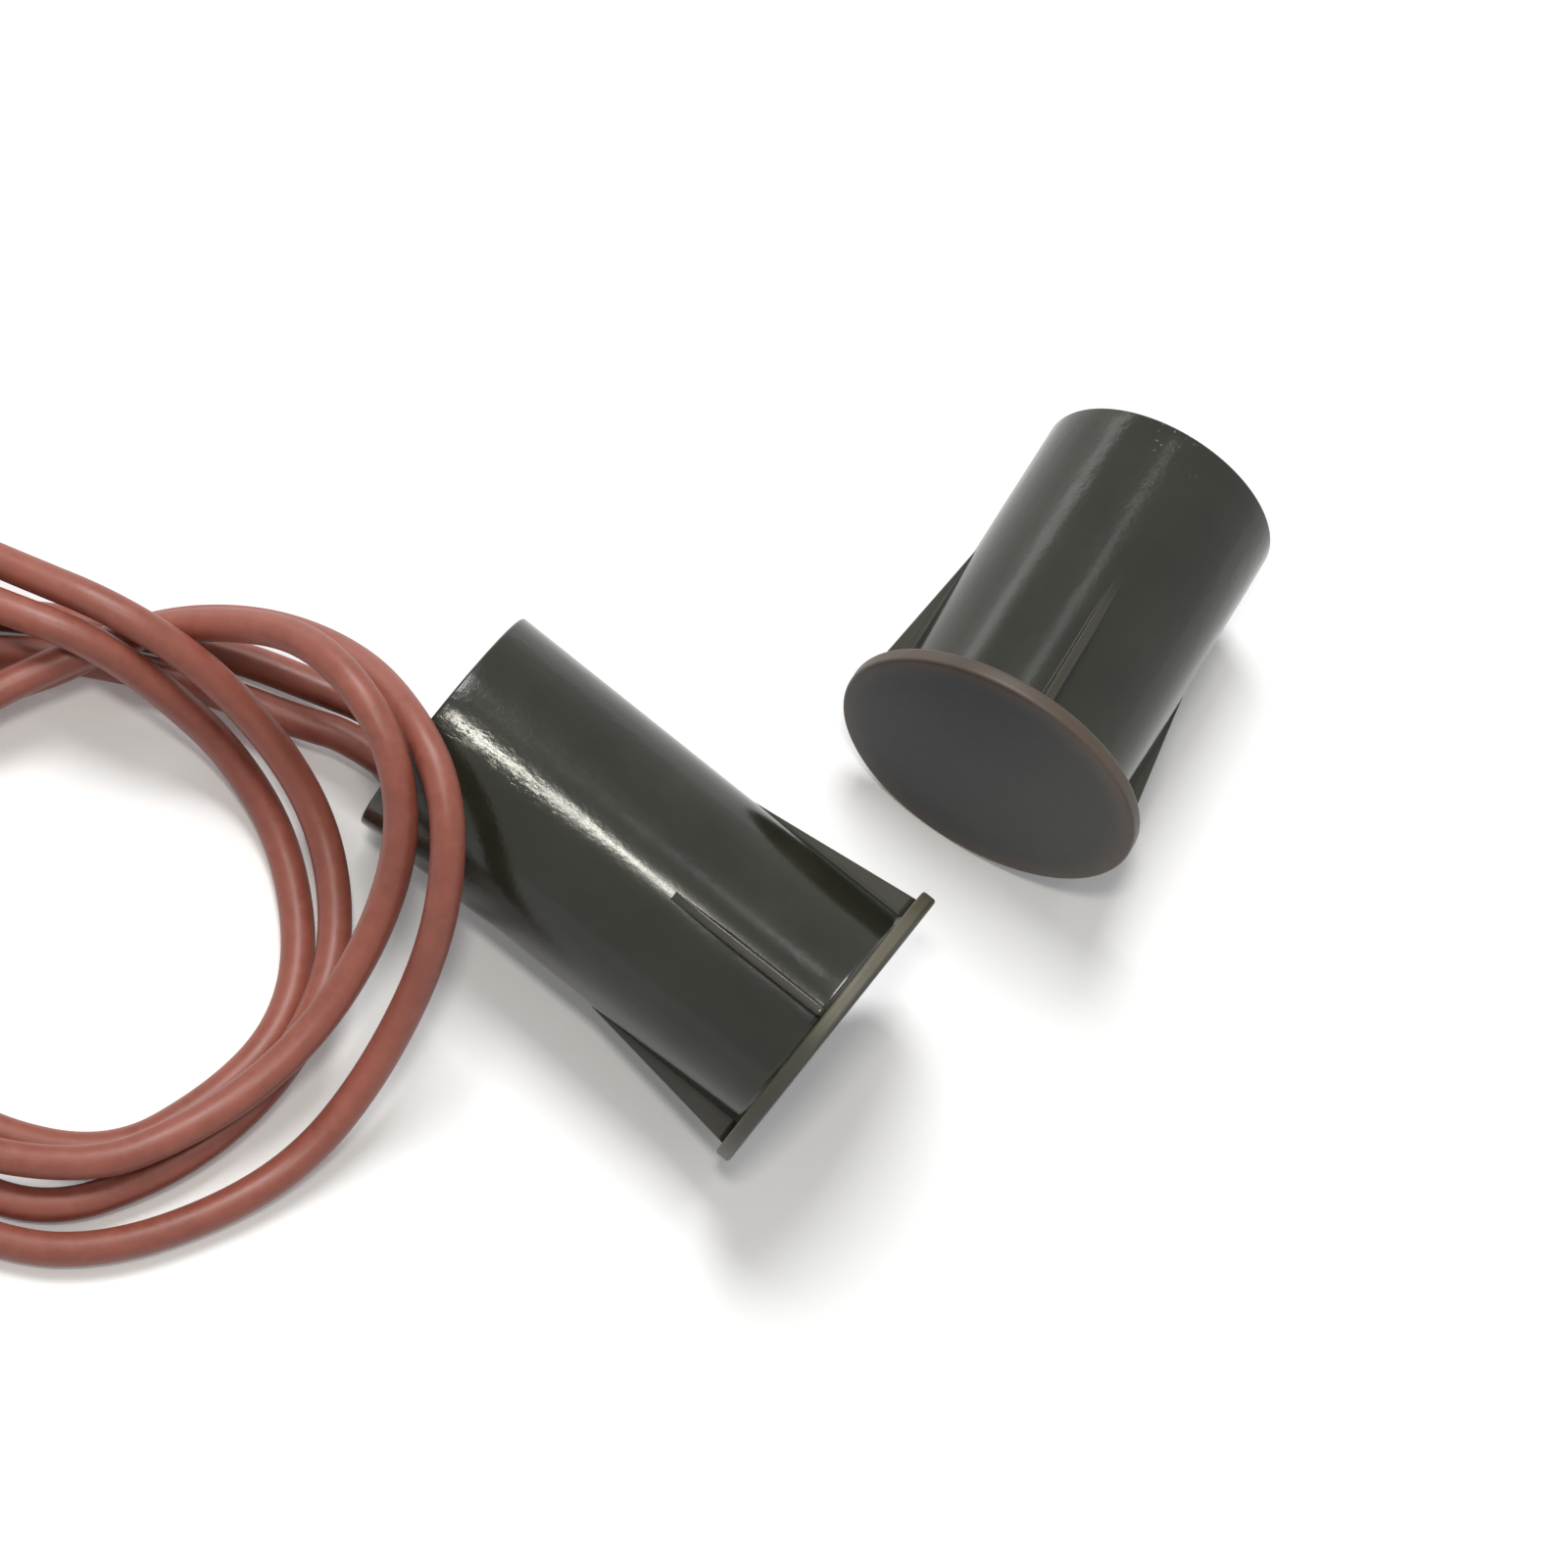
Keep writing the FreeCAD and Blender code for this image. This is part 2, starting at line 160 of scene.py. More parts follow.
LEAD_2_ROUTE = [
    (-17.09, -20.80, 4.60), (-24.07, -20.80, 4.07),
    (-28.5, -22.0, 3.10), (-34.6, -23.7, 1.75), (-40.5, -26.7, 1.25), (-46.5, -30.6, 1.25),
    (-52.6, -35.2, 1.25), (-57.9, -40.8, 1.25), (-60.8, -47.8, 1.25), (-60.1, -55.6, 1.25),
    (-55.8, -62.6, 1.25), (-48.9, -68.0, 1.25), (-40.3, -71.7, 1.25), (-30.9, -72.3, 1.25),
    (-19.9, -69.1, 1.25), (-14.2, -64.4, 1.25), (-9.8, -56.9, 1.25), (-7.6, -50.0, 2.20),
    (-7.8, -43.4, 5.80), (-9.7, -36.9, 11.80), (-12.7, -32.7, 17.60), (-17.2, -28.4, 20.60),
    (-22.8, -25.3, 19.00), (-28.0, -22.8, 14.00), (-34.0, -22.7, 8.60), (-38.9, -25.4, 5.40),
    (-42.1, -29.8, 4.30), (-44.2, -35.1, 3.30), (-50.2, -43.5, 1.60), (-52.8, -51.1, 1.25),
    (-50.4, -58.7, 1.25), (-44.8, -64.3, 1.25), (-37.0, -67.6, 1.25), (-28.5, -68.2, 1.25),
    (-19.4, -65.8, 1.25), (-14.4, -57.1, 1.60), (-12.7, -48.6, 2.90), (-13.9, -40.2, 3.70),
    (-17.2, -34.5, 3.60), (-22.4, -30.2, 4.20), (-28.9, -28.9, 7.00), (-36.3, -29.6, 10.90),
    (-43.4, -31.1, 12.00), (-50.0, -32.3, 9.20), (-58.9, -33.5, 4.80), (-65.6, -35.6, 1.80),
    (-71.2, -38.7, 1.25),
]


# Shader maths: a wrapped socket takes part in Python expressions.
class Wire:
    def __init__(self, tree, socket):
        self.tree = tree
        self.socket = socket

    def maths(self, operation, other=None, swap=False):
        node = self.tree.nodes.new("ShaderNodeMath")
        node.operation = operation
        values = [self, other]
        if swap:
            values = [other, self]
        for index, value in enumerate(values):
            if isinstance(value, Wire):
                self.tree.links.new(value.socket, node.inputs[index])
            elif value is not None:
                node.inputs[index].default_value = value
        return Wire(self.tree, node.outputs[0])

    def __add__(self, other):
        return self.maths("ADD", other)

    def __radd__(self, other):
        return self.maths("ADD", other, True)

    def __sub__(self, other):
        return self.maths("SUBTRACT", other)

    def __rsub__(self, other):
        return self.maths("SUBTRACT", other, True)

    def __mul__(self, other):
        return self.maths("MULTIPLY", other)

    def __rmul__(self, other):
        return self.maths("MULTIPLY", other, True)

    def __truediv__(self, other):
        return self.maths("DIVIDE", other)

    def __pow__(self, other):
        return self.maths("POWER", other)

    def above(self, low, high):
        """0 below low, 1 above high, straight between."""
        node = self.tree.nodes.new("ShaderNodeMapRange")
        self.tree.links.new(self.socket, node.inputs["Value"])
        node.inputs["From Min"].default_value = low
        node.inputs["From Max"].default_value = high
        return Wire(self.tree, node.outputs["Result"])


class Finish:
    """A material whose nodes are made one call at a time."""

    def __init__(self, name, **fixed):
        self.material = bpy.data.materials.new(name)
        self.material.use_nodes = True
        self.tree = self.material.node_tree
        self.shader = self.tree.nodes["Principled BSDF"]
        for key, value in fixed.items():
            self.shader.inputs[key.replace("_", " ")].default_value = value

    def node(self, kind, out, settings=None, values=None):
        node = self.tree.nodes.new("ShaderNode" + kind)
        for key, value in (settings or {}).items():
            setattr(node, key, value)
        for key, value in (values or {}).items():
            if isinstance(value, Wire):
                self.tree.links.new(value.socket, node.inputs[key])
            else:
                node.inputs[key].default_value = value
        return Wire(self.tree, node.outputs[out])

    def feed(self, **links):
        for key, wire in links.items():
            self.tree.links.new(wire.socket, self.shader.inputs[key.replace("_", " ")])

    def place(self, half=None):
        """Object coordinates, or a half's own frame with x along its axis from the back end."""
        spot = self.node("TexCoord", "Object")
        if half is None:
            return spot
        return self.node("Mapping", 0, {"vector_type": "TEXTURE"}, {
            "Vector": spot, "Location": half.back, "Rotation": half.turn})

    def stretched(self, spot, scale):
        return self.node("Mapping", 0, {}, {"Vector": spot, "Scale": scale})

    def noise(self, spot, scale, detail=3.0, rough=0.5):
        return self.node("TexNoise", "Fac", {}, {
            "Vector": spot, "Scale": scale, "Detail": detail, "Roughness": rough})

    def blend(self, factor, low, high):
        return self.node("Mix", 2, {"data_type": "RGBA"}, {0: factor, 6: low, 7: high})

    def bump(self, height, distance, strength, base=None):
        values = {"Height": height, "Distance": distance, "Strength": strength}
        if base is not None:
            values["Normal"] = base
        return self.node("Bump", 0, {}, values)

    def split(self, spot):
        node = self.tree.nodes.new("ShaderNodeSeparateXYZ")
        self.tree.links.new(spot.socket, node.inputs[0])
        return [Wire(self.tree, node.outputs[index]) for index in range(3)]


def colour(r, g, b):
    return (r, g, b, 1.0)


def moulded_plastic(half):
    """Dark olive-brown moulded plastic: glossy body, duller and browner flange, light flecks and
    patches painted beside the lamp's streak as painted highlight on a scuffed surface, ribs painted
    lighter as painted highlight, a painted shade gradient on the face and painted shade on the
    flange's lower side.
    """
    f = Finish(half.name + "_moulded_plastic", Roughness=0.2, IOR=1.5, Specular_IOR_Level=0.355)
    spot = f.place(half)
    x, y, z = f.split(spot)
    radius = (y * y + z * z) ** 0.5
    face = x.above((half.length - 0.42) * MM, (half.length - 0.32) * MM)
    rim = radius.above(9.6 * MM, 11.7 * MM)
    flange = x.above((half.length - FLANGE_T - 0.1) * MM, (half.length - FLANGE_T + 0.15) * MM)
    cloud = f.noise(spot, 130.0, 4.0, 0.6)
    fine = f.noise(spot, 2600.0, 2.0)
    body = f.blend(cloud.above(0.35, 0.7),
                   colour(0.0140, 0.0142, 0.0092), colour(0.0225, 0.0223, 0.0152))
    brown = f.blend(cloud.above(0.3, 0.75), *half.rim_colours)
    slope = (0.0 - y) / z
    # Band of the surface beside the lamp's streak, where the highlight flecks are painted.
    near_streak = 1.0 - (slope - half.lit_slope).maths("ABSOLUTE").above(0.10, 0.42)
    # Flecks painted light in that band near the back end: painted glints, also raised in the bump.
    glint_flecks = f.noise(spot, 3000.0, 1.0).above(0.62, 0.70)
    glint_flecks = glint_flecks * (1.0 - x.above(0.5 * MM, 4.5 * MM)) * near_streak
    glint_flecks = glint_flecks * f.noise(spot, 420.0, 1.0).above(0.44, 0.56)
    # Light patches painted along the streak's lower edge near the back end: painted highlight on a
    # scuffed, wavy surface.
    scuff_glints = slope.above(0.375, 0.40) * (1.0 - slope.above(0.43, 0.50))
    scuff_glints = scuff_glints * (1.0 - x.above(4.0 * MM, 13.0 * MM))
    patchy = f.noise(f.stretched(spot, (0.4, 1.0, 1.0)), 1500.0, 3.0, 0.7).above(0.50, 0.60)
    # Painted highlight: light flecks and patches beside the streak, on a scuffed, uneven surface. The
    # same mask also roughens and bumps it.
    worn = glint_flecks.maths("MAXIMUM", scuff_glints * patchy * half.scuff_glint_share) * z.above(0.0, 1.0 * MM)
    # Face colour painted bluish towards the half's -y side and warmer towards its +y side: painted
    # shade and reflection across the face.
    face_painted_shade = f.blend(y.above(-9.0 * MM, 7.0 * MM),
                   colour(0.0220, 0.0242, 0.0300), colour(0.0270, 0.0262, 0.0236))
    front = f.blend(rim ** 1.6 * half.edge_tint, face_painted_shade, brown)
    # Painted shade: the brown rim is darkened on the half's lower side, towards the floor.
    shade = 1.0 - half.low_shade * (0.0 - y).above(3.6 * MM, 6.4 * MM)
    # Rib tops and sides painted lighter than the body: painted highlight for their lit faces and
    # edges.
    on_rib = radius.above((BODY_R + 0.10) * MM, (BODY_R + 0.5) * MM)
    ribs_painted_light = f.blend(on_rib, body, colour(0.034, 0.032, 0.022))
    # The flecks and patches lighten the colour here: painted highlight.
    with_painted_glints = f.blend(worn * 0.75, ribs_painted_light, colour(0.15, 0.14, 0.095))
    edge = f.blend(flange * 0.85 * shade, with_painted_glints, brown)
    f.feed(Base_Color=f.blend(face, edge, front))
    sheen = f.noise(f.stretched(spot, (0.25, 1.0, 1.0)), 900.0, 3.0, 0.6)
    gloss = 0.125 + sheen * 0.11 + cloud.above(0.55, 0.8) * 0.04 + worn * 0.12
    f.feed(Roughness=gloss * (1.0 - flange) + flange * (0.40 + fine * 0.12))
    sink = f.noise(f.stretched(spot, (0.35, 1.0, 1.0)), 150.0, 2.0, 0.4)
    near_back = 1.0 - x.above(4.0 * MM, 20.0 * MM)
    ripple = f.noise(f.stretched(spot, (0.5, 1.0, 1.0)), 760.0, 3.0, 0.6)
    wave = sink * 0.32 + ripple * (0.05 + near_back * 0.12)
    first = f.bump(wave, 0.00035, 0.55)
    f.feed(Normal=f.bump(fine * (0.35 + near_back * 0.75) + worn * 1.6, 0.00001, 1.0, first))
    return f.material


def cast_epoxy(half):
    """Black epoxy, glossy and a little uneven, with a few specks of dust."""
    f = Finish(half.name + "_cast_epoxy", Roughness=0.1, IOR=1.55)
    spot = f.place(half)
    cloud = f.noise(spot, 300.0, 3.0)
    specks = f.noise(spot, 3200.0, 1.0).above(0.72, 0.78)
    f.feed(Base_Color=f.blend(specks, colour(0.006, 0.006, 0.006), colour(0.06, 0.055, 0.05)))
    f.feed(Roughness=0.06 + cloud * 0.14 + specks * 0.3)
    f.feed(Normal=f.bump(cloud, 0.0002, 0.5))
    return f.material


def lead_vinyl():
    """Terracotta lead jacket with a satin skin, darker mottles and light scuffs."""
    f = Finish("lead_vinyl", Roughness=0.40, IOR=1.47, Specular_IOR_Level=0.52)
    spot = f.place()
    cloud = f.noise(spot, 190.0, 4.0, 0.6)
    mottle = f.noise(spot, 900.0, 3.0, 0.6)
    fine = f.noise(spot, 4200.0, 2.0)
    deep = f.blend(cloud.above(0.3, 0.7), colour(0.204, 0.056, 0.037), colour(0.270, 0.078, 0.054))
    worn = f.blend(mottle.above(0.45, 0.8) * 0.55, deep, colour(0.320, 0.100, 0.070))
    dark = f.noise(spot, 420.0, 3.0, 0.7).above(0.64, 0.74) * 0.35
    f.feed(Base_Color=f.blend(dark, worn, colour(0.135, 0.035, 0.024)))
    f.feed(Roughness=0.31 + mottle * 0.18 + cloud * 0.08)
    first = f.bump(mottle, 0.00005, 0.5)
    f.feed(Normal=f.bump(fine, 0.00001, 0.6, first))
    return f.material


def tinned_copper():
    """Bare wire under tin, a little uneven."""
    f = Finish("tinned_copper", Metallic=1.0, Roughness=0.3)
    spot = f.place()
    cloud = f.noise(spot, 1400.0, 4.0, 0.6)
    f.feed(Base_Color=f.blend(cloud.above(0.35, 0.7),
                              colour(0.60, 0.58, 0.55), colour(0.78, 0.77, 0.74)))
    f.feed(Roughness=0.22 + cloud * 0.3)
    f.feed(Normal=f.bump(cloud, 0.00004, 0.6))
    return f.material


def plain_finish(name, low, high, rough, scale, **fixed):
    """Finish of a hidden piece: two tones, clouded, with a fine grain."""
    f = Finish(name, **fixed)
    spot = f.place()
    cloud = f.noise(spot, scale, 3.0)
    f.feed(Base_Color=f.blend(cloud.above(0.3, 0.7), colour(*low), colour(*high)))
    f.feed(Roughness=rough + cloud * 0.15)
    f.feed(Normal=f.bump(cloud, 0.00003, 0.4))
    return f.material


SWITCH_PLASTIC = moulded_plastic(SWITCH)
MAGNET_PLASTIC = moulded_plastic(MAGNET)
SWITCH_EPOXY = cast_epoxy(SWITCH)
MAGNET_EPOXY = cast_epoxy(MAGNET)
VINYL = lead_vinyl()
TINNED = tinned_copper()
SOLDER = plain_finish("solder", (0.50, 0.50, 0.50), (0.66, 0.66, 0.65), 0.25, 1500.0, Metallic=1.0)
SHRINK = plain_finish("heat_shrink", (0.010, 0.010, 0.010), (0.020, 0.020, 0.020), 0.38, 900.0)
SILICONE = plain_finish("silicone_buffer", (0.62, 0.62, 0.60), (0.74, 0.74, 0.71), 0.45, 500.0)
MAGNET_METAL = plain_finish("magnet_metal", (0.20, 0.20, 0.21), (0.30, 0.30, 0.31), 0.4, 700.0,
                            Metallic=0.9)
REED_GLASS = plain_finish("reed_glass", (0.80, 0.90, 0.84), (0.88, 0.95, 0.90), 0.02, 400.0,
                          Transmission_Weight=0.9, IOR=1.5)


def finished(name, mesh, material):
    """A smooth piece at the origin, with its place in its mesh."""
    mesh.materials.clear()
    mesh.materials.append(material)
    mesh.shade_smooth()
    piece = bpy.data.objects.new(name, mesh)
    bpy.context.scene.collection.objects.link(piece)
    return piece


def arc(centre_x, centre_r, radius, start, end, steps=6):
    """Points (x, r) round a centre, from one angle to another in degrees."""
    points = []
    for index in range(steps + 1):
        angle = math.radians(start + (end - start) * index / steps)
        points.append((centre_x + radius * math.cos(angle), centre_r + radius * math.sin(angle)))
    return points


def skin(bm, rings, around):
    """Closes the faces between rings of points, where a ring may be one point."""
    for low, high in zip(rings, rings[1:]):
        for index in range(around):
            after = (index + 1) % around
            corners = []
            for ring, step in ((low, index), (low, after), (high, after), (high, index)):
                if ring[step % len(ring)] not in corners:
                    corners.append(ring[step % len(ring)])
            bm.faces.new(corners)
    bmesh.ops.recalc_face_normals(bm, faces=bm.faces)


def lathe(profile, segments, half, name):
    """Closed shell turned round a half's axis from (x, r) points, the first and last on the axis."""
    bm = bmesh.new()
    rings = []
    for x, r in profile:
        if r < 1e-6:
            rings.append([bm.verts.new(half.place @ (Vector((x, 0.0, 0.0)) * MM))])
            continue
        ring = []
        for index in range(segments):
            angle = 2.0 * math.pi * index / segments
            spot = Vector((x, r * math.sin(angle), r * math.cos(angle))) * MM
            ring.append(bm.verts.new(half.place @ spot))
        rings.append(ring)
    skin(bm, rings, segments)
    mesh = bpy.data.meshes.new(name)
    bm.to_mesh(mesh)
    bm.free()
    return mesh


def housing_profile(length):
    """Outline of the cup: from the inside of its face out over the rim, the body and the flange."""
    under = length - FLANGE_T
    inner, outer = MOUTH_INNER_ROUND, MOUTH_OUTER_ROUND
    root, soft = FLANGE_ROOT_ROUND, FLANGE_EDGE_ROUND
    floor = length - FACE_T
    points = [(floor, 0.0), (floor, 4.0), (floor, BORE_R - BORE_END_BEVEL)]
    points += [(floor - BORE_END_BEVEL, BORE_R), (12.0, BORE_R), (0.5, BORE_R)]
    points += arc(inner, BORE_R + inner, inner, 270.0, 180.0, 4)
    points += arc(outer, BODY_R - outer, outer, 180.0, 90.0, 6)
    steps = 24
    for index in range(1, steps):
        share = index / steps
        points.append((outer + (under - 0.75) * share, BODY_R))
    points += arc(under - root, BODY_R + root, root, 270.0, 360.0, 6)
    points += [(under, BODY_R + 1.0), (under, FLANGE_R - 0.6)]
    points += arc(under + soft, FLANGE_R - soft, soft, 180.0, 90.0, 5)
    points += [(under + 0.45, FLANGE_R), (length - 0.45, FLANGE_R)]
    points += arc(length - soft, FLANGE_R - soft, soft, 90.0, 0.0, 5)
    points += [(length, FLANGE_R - 0.6), (length, 8.0), (length, 4.0), (length, 0.0)]
    return points


def rib_mesh(half):
    """One wedge rib in the half's own frame, at angle zero, with soft top edges and root fillets."""
    start = half.length - FLANGE_T - RIB_LENGTH - RIB_RUN_OUT
    end = half.length - FLANGE_T + 0.05
    side = RIB_WIDTH / 2.0
    bm = bmesh.new()
    rings = []
    steps = 28
    for index in range(steps + 1):
        share = index / steps
        x = start + (end - start) * share
        climb = max(0.0, (x - start - RIB_RUN_OUT) / RIB_LENGTH)
        top = BODY_R - RIB_SINK + (RIB_HEIGHT + RIB_SINK) * climb
        soft = min(0.14, max(0.01, (top - BODY_R) * 0.5))
        root = min(0.25, max(0.01, (top - BODY_R) * 0.4))
        shape = [(-side - root - 0.25, BODY_R - 0.35), (-side - root, BODY_R - 0.03 - root * 0.07)]
        for step in range(1, 5):
            angle = math.radians(90.0 * step / 4.0)
            shape.append((-side - root + root * math.sin(angle),
                          BODY_R - 0.03 + root * (1.0 - math.cos(angle))))
        for step in range(5):
            angle = math.radians(90.0 * step / 4.0)
            shape.append((-side + soft * (1.0 - math.cos(angle)), top - soft + soft * math.sin(angle)))
        whole = shape + [(-y, z) for y, z in reversed(shape)]
        rings.append([bm.verts.new(Vector((x, y, z)) * MM) for y, z in whole])
    bm.faces.new(rings[0])
    bm.faces.new(list(reversed(rings[-1])))
    skin(bm, rings, len(rings[0]))
    mesh = bpy.data.meshes.new(half.name + "_rib")
    bm.to_mesh(mesh)
    bm.free()
    return mesh


def rib_ring(half, material):
    """Repeats one rib round the half's axis with Geometry Nodes and returns the plain mesh."""
    tree = bpy.data.node_groups.new(half.name + "_rib_ring", "GeometryNodeTree")
    faces = tree.interface
    faces.new_socket("Rib", in_out="INPUT", socket_type="NodeSocketGeometry")
    count = faces.new_socket("Rib count", in_out="INPUT", socket_type="NodeSocketInt")
    first = faces.new_socket("First angle", in_out="INPUT", socket_type="NodeSocketFloat")
    faces.new_socket("Ribs", in_out="OUTPUT", socket_type="NodeSocketGeometry")
    nodes = tree.nodes
    link = tree.links.new
    start = nodes.new("NodeGroupInput")
    finish = nodes.new("NodeGroupOutput")
    line = nodes.new("GeometryNodeMeshLine")
    line.inputs["Offset"].default_value = (0.0, 0.0, 0.0)
    link(start.outputs["Rib count"], line.inputs["Count"])
    order = nodes.new("GeometryNodeInputIndex")
    step = nodes.new("ShaderNodeMath")
    step.operation = "DIVIDE"
    step.inputs[0].default_value = 2.0 * math.pi
    link(start.outputs["Rib count"], step.inputs[1])
    angle = nodes.new("ShaderNodeMath")
    angle.operation = "MULTIPLY_ADD"
    link(order.outputs[0], angle.inputs[0])
    link(step.outputs[0], angle.inputs[1])
    link(start.outputs["First angle"], angle.inputs[2])
    turn = nodes.new("ShaderNodeMath")
    turn.operation = "MULTIPLY"
    turn.inputs[1].default_value = -1.0
    link(angle.outputs[0], turn.inputs[0])
    spin = nodes.new("ShaderNodeCombineXYZ")
    link(turn.outputs[0], spin.inputs[0])
    copies = nodes.new("GeometryNodeInstanceOnPoints")
    link(line.outputs[0], copies.inputs["Points"])
    link(start.outputs["Rib"], copies.inputs["Instance"])
    link(spin.outputs[0], copies.inputs["Rotation"])
    real = nodes.new("GeometryNodeRealizeInstances")
    link(copies.outputs[0], real.inputs[0])
    paint = nodes.new("GeometryNodeSetMaterial")
    paint.inputs["Material"].default_value = material
    link(real.outputs[0], paint.inputs["Geometry"])
    link(paint.outputs[0], finish.inputs[0])
    carrier = bpy.data.objects.new(half.name + "_rib_carrier", rib_mesh(half))
    bpy.context.scene.collection.objects.link(carrier)
    modifier = carrier.modifiers.new("ribs", "NODES")
    modifier.node_group = tree
    modifier[count.identifier] = RIB_COUNT
    modifier[first.identifier] = half.rib_angle
    bpy.context.view_layer.update()
    ready = carrier.evaluated_get(bpy.context.evaluated_depsgraph_get())
    mesh = bpy.data.meshes.new_from_object(ready)
    bpy.data.objects.remove(carrier)
    mesh.transform(half.place)
    return mesh


def joined(name, meshes):
    """One mesh from several."""
    bm = bmesh.new()
    for mesh in meshes:
        bm.from_mesh(mesh)
    whole = bpy.data.meshes.new(name)
    bm.to_mesh(whole)
    bm.free()
    return whole


def make_housing(half, material):
    """Moulded cup and its ribs, in place of the solid housing."""
    cup = lathe(housing_profile(half.length), ROUND_STEPS, half, half.name + "_cup")
    whole = joined(half.name + "_housing_moulding", [cup, rib_ring(half, material)])
    piece = finished(half.name + "_housing_moulding", whole, material)
    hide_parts(half.name + "_housing")
    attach(piece, "root")


def fill_height(y, z, lump):
    """How far the fill's back surface stands out of the back end, in millimetres."""
    r = math.hypot(y, z)
    height = -FILL_RECESS + FILL_CLIMB * math.exp(-(BORE_R - r) / FILL_CLIMB_REACH)
    height += 0.10 * noise.noise(Vector((y * 0.35, z * 0.35, 3.0 if lump else 8.0)))
    if lump:
        dy = y - LUMP_Y
        dz = z - LUMP_Z
        bearing = math.atan2(dz, dy)
        wobble = 1.0 + 0.10 * math.sin(2.0 * bearing + 0.6) + 0.06 * math.sin(3.0 * bearing + 1.9)
        away = math.hypot(dy, dz) / (LUMP_R * wobble)
        dome = max(0.0, 1.0 - away ** 2.3) ** 0.55
        skirt = 0.55 * math.exp(-max(0.0, away - 0.92) * LUMP_R / 0.5)
        uneven = 1.0 + 0.05 * noise.noise(Vector((y, z, 1.0)))
        height += (LUMP_LENGTH + FILL_RECESS - 0.35) * dome * uneven
        height += skirt * min(1.0, away)
    return height


def make_fill(half, material, lump):
    """Skin of the epoxy fill: fine towards the lump round the leads, closed behind."""
    centre = (LUMP_Y, LUMP_Z) if lump else (0.0, 0.0)
    around = 180
    outward = 56
    bm = bmesh.new()

    def vert(x, y, z):
        return bm.verts.new(half.place @ (Vector((x, y, z)) * MM))

    rings = [[vert(-fill_height(centre[0], centre[1], lump), centre[0], centre[1])]]
    edge = BORE_R + 0.02
    for step in range(1, outward + 1):
        share = (step / outward) ** 1.35
        ring = []
        for index in range(around):
            angle = 2.0 * math.pi * index / around
            sy, sz = math.sin(angle), math.cos(angle)
            along = centre[0] * sy + centre[1] * sz
            reach = -along + math.sqrt(along * along - centre[0] ** 2 - centre[1] ** 2 + edge * edge)
            y = centre[0] + sy * reach * share
            z = centre[1] + sz * reach * share
            ring.append(vert(-fill_height(y, z, lump), y, z))
        rings.append(ring)
    rim = []
    for index in range(around):
        flat = half.place.inverted() @ rings[-1][index].co / MM
        rim.append(vert(3.0, flat.y, flat.z))
    rings.append(rim)
    rings.append([vert(3.0, 0.0, 0.0)])
    skin(bm, rings, around)
    mesh = bpy.data.meshes.new(half.name + "_fill_skin")
    bm.to_mesh(mesh)
    bm.free()
    piece = finished(half.name + "_fill_skin", mesh, material)
    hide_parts(half.name + "_potting")
    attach(piece, "root")


def make_tip(name, route):
    """Bare tinned end of a lead: twisted strands under a skin of tin."""
    start = Vector(route[-1])
    along = (start - Vector(route[-2])).normalized()
    side = along.orthogonal().normalized()
    other = along.cross(side)
    steps = 64
    around = 84
    bm = bmesh.new()

    def vert(reach, radius, angle):
        outward = side * math.cos(angle) + other * math.sin(angle)
        return bm.verts.new((start + along * reach + outward * radius) * MM)

    rings = [[vert(-TIP_OVERLAP, 0.0, 0.0)]]
    for step in range(steps + 1):
        reach = -TIP_OVERLAP + (TIP_LENGTH + 0.35) * step / steps
        to_end = TIP_LENGTH - 0.03 - reach
        worn = 1.0
        if to_end <= TIP_WORN:
            worn = 0.72 + 0.28 * math.sqrt(max(0.0, 1.0 - (1.0 - to_end / TIP_WORN) ** 2))
        ring = []
        for index in range(around):
            angle = 2.0 * math.pi * index / around
            strand = abs(math.sin(STRANDS / 2.0 * (angle + 2.0 * math.pi * reach / STRAND_LAY)))
            ring.append(vert(reach, (TIP_R - 0.15 + 0.14 * math.sqrt(strand)) * worn, angle))
        rings.append(ring)
    rings.append([vert(TIP_LENGTH - 0.02, 0.0, 0.0)])
    skin(bm, rings, around)
    mesh = bpy.data.meshes.new(name + "_strands")
    bm.to_mesh(mesh)
    bm.free()
    piece = finished(name + "_strands", mesh, TINNED)
    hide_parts(name)
    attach(piece, "root")
    return piece


def make_lead(node, route, exit_y):
    """Free lead on one smooth curve, with its bare end."""
    end = make_tip(node + "_tip", route)
    data = bpy.data.curves.new(node + "_jacket", "CURVE")
    data.dimensions = "3D"
    data.bevel_depth = LEAD_R * MM
    data.bevel_resolution = 10
    data.resolution_u = 14
    data.use_fill_caps = True
    line = data.splines.new("NURBS")
    line.points.add(len(route) - 1)
    for point, spot in zip(line.points, route):
        point.co = (spot[0] * MM, spot[1] * MM, spot[2] * MM, 1.0)
    line.order_u = 3
    line.use_endpoint_u = True
    line.use_smooth = True
    data.materials.append(VINYL)
    piece = bpy.data.objects.new(node + "_jacket", data)
    bpy.context.scene.collection.objects.link(piece)
    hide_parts(node)
    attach(piece, "root")
    leaves = SWITCH.place @ (Vector((EXIT_X, exit_y, EXIT_Z)) * MM)


make_lead("lead_1", LEAD_1_ROUTE, EXIT_Y[0])
make_lead("lead_2", LEAD_2_ROUTE, EXIT_Y[1])
make_housing(SWITCH, SWITCH_PLASTIC)
make_housing(MAGNET, MAGNET_PLASTIC)
make_fill(SWITCH, SWITCH_EPOXY, True)
make_fill(MAGNET, MAGNET_EPOXY, False)

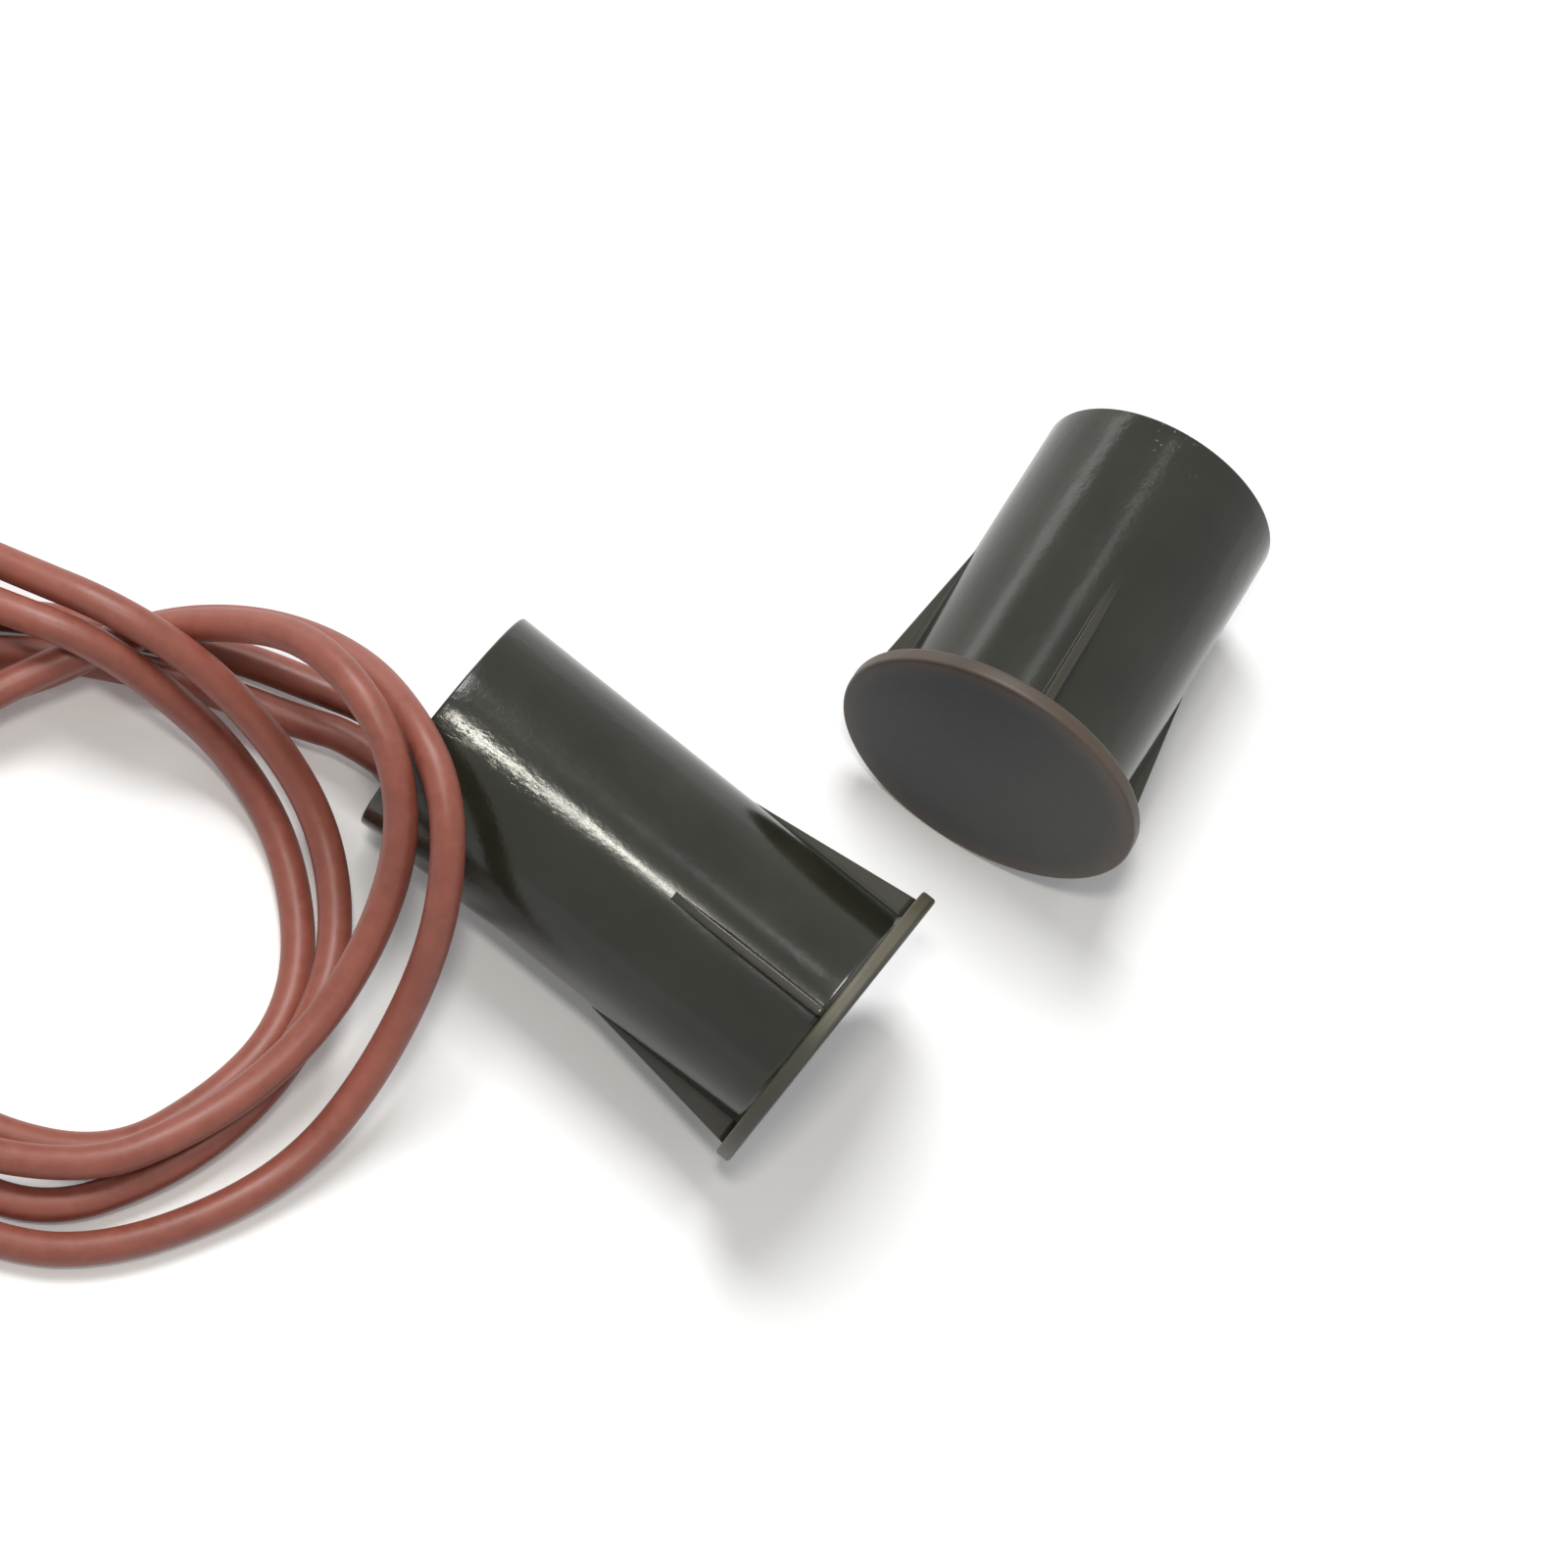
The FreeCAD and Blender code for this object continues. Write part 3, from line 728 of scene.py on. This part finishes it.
# Finishes of the solids that stay, inside the two halves.
INNER = {
    "reed_glass": REED_GLASS, "reed_buffer": SILICONE,
    "reed_blade_front": TINNED, "reed_blade_rear": TINNED, "return_wire": TINNED,
    "lead_1_core": TINNED, "lead_2_core": TINNED,
    "solder_1": SOLDER, "solder_2": SOLDER,
    "sleeve_1": SHRINK, "sleeve_2": SHRINK,
    "magnet": MAGNET_METAL,
}
for node_name, material in INNER.items():
    for material_slot in NODES[node_name].material_slots:
        material_slot.material = material


def paper_floor():
    """White paper floor that keeps the object's shadow."""
    mesh = bpy.data.meshes.new("paper_floor")
    reach = 1.6
    corners = [(-reach, -reach, 0.0), (reach, -reach, 0.0), (reach, reach, 0.0), (-reach, reach, 0.0)]
    mesh.from_pydata(corners, [], [(0, 1, 2, 3)])
    floor = bpy.data.objects.new("paper_floor", mesh)
    bpy.context.scene.collection.objects.link(floor)
    f = Finish("white_paper", Roughness=0.9, Specular_IOR_Level=0.2)
    f.shader.inputs["Base Color"].default_value = colour(0.90, 0.90, 0.905)
    f.shader.inputs["Emission Color"].default_value = colour(1.0, 1.0, 1.0)
    seen = f.node("LightPath", "Is Camera Ray")
    mirrored = f.node("LightPath", "Is Glossy Ray")
    through = f.node("LightPath", "Is Transmission Ray")
    glow = seen.maths("MAXIMUM", mirrored).maths("MAXIMUM", through)
    x, y, _ = f.split(f.place())
    away = ((x * x + y * y) ** 0.5).above(0.10, 0.60)
    f.tree.links.new((glow * (0.10 + away * 0.6)).socket, f.shader.inputs["Emission Strength"])
    mesh.materials.append(f.material)


def set_world():
    """Soft even light, and plain white where the camera or a reflection sees past the floor."""
    world = bpy.data.worlds.new("studio")
    bpy.context.scene.world = world
    world.use_nodes = True
    tree = world.node_tree
    background = tree.nodes["Background"]
    background.inputs["Color"].default_value = colour(1.0, 1.0, 1.0)
    path = tree.nodes.new("ShaderNodeLightPath")
    seen = Wire(tree, path.outputs["Is Camera Ray"])
    mirrored = Wire(tree, path.outputs["Is Glossy Ray"])
    through = Wire(tree, path.outputs["Is Transmission Ray"])
    plain = seen.maths("MAXIMUM", mirrored).maths("MAXIMUM", through)
    strength = 0.30 + plain * 0.70
    tree.links.new(strength.socket, background.inputs["Strength"])


# Point between the two halves that every lamp faces, in metres.
LAMP_AIM = Vector((-0.002, -0.02, 0.012))


def lamp(name, direction, distance, size, power, tint=(1.0, 1.0, 1.0)):
    """Rectangular lamp, its first side level, at a distance in metres from the object."""
    data = bpy.data.lights.new(name, "AREA")
    data.shape = "RECTANGLE"
    data.size = size[0]
    data.size_y = size[1]
    data.energy = power
    data.color = tint
    obj = bpy.data.objects.new(name, data)
    bpy.context.scene.collection.objects.link(obj)
    back = Vector(direction).normalized()
    level = (Vector((1.0, 0.0, 0.0)) - back * back.x).normalized()
    obj.matrix_world = Matrix.Translation(LAMP_AIM + back * distance) @ Matrix(
        (level, back.cross(level), back)).transposed().to_4x4()


paper_floor()
set_world()
lamp("ceiling_panel", (-0.44, 0.24, 0.865), 1.0, (0.34, 0.34), 7.4)
lamp("ceiling_tube", (-0.150, -0.25, 0.957), 1.0, (0.110, 0.080), 2.3, (1.0, 0.97, 0.86))
lamp("tube_end", (-0.040, -0.25, 0.968), 1.0, (0.110, 0.075), 0.26)
lamp("second_tube", (0.0, 0.215, 0.974), 1.0, (0.13, 0.075), 0.30)
lamp("door_panel", (-0.327, 0.5575, 0.763), 1.0, (0.10, 0.16), 0.14)
lamp("window_side", (-0.93, 0.42, 0.12), 1.2, (0.6, 0.2), 1.1)

view = bpy.context.scene.view_settings
view.view_transform = "Standard"

bpy.context.view_layer.update()
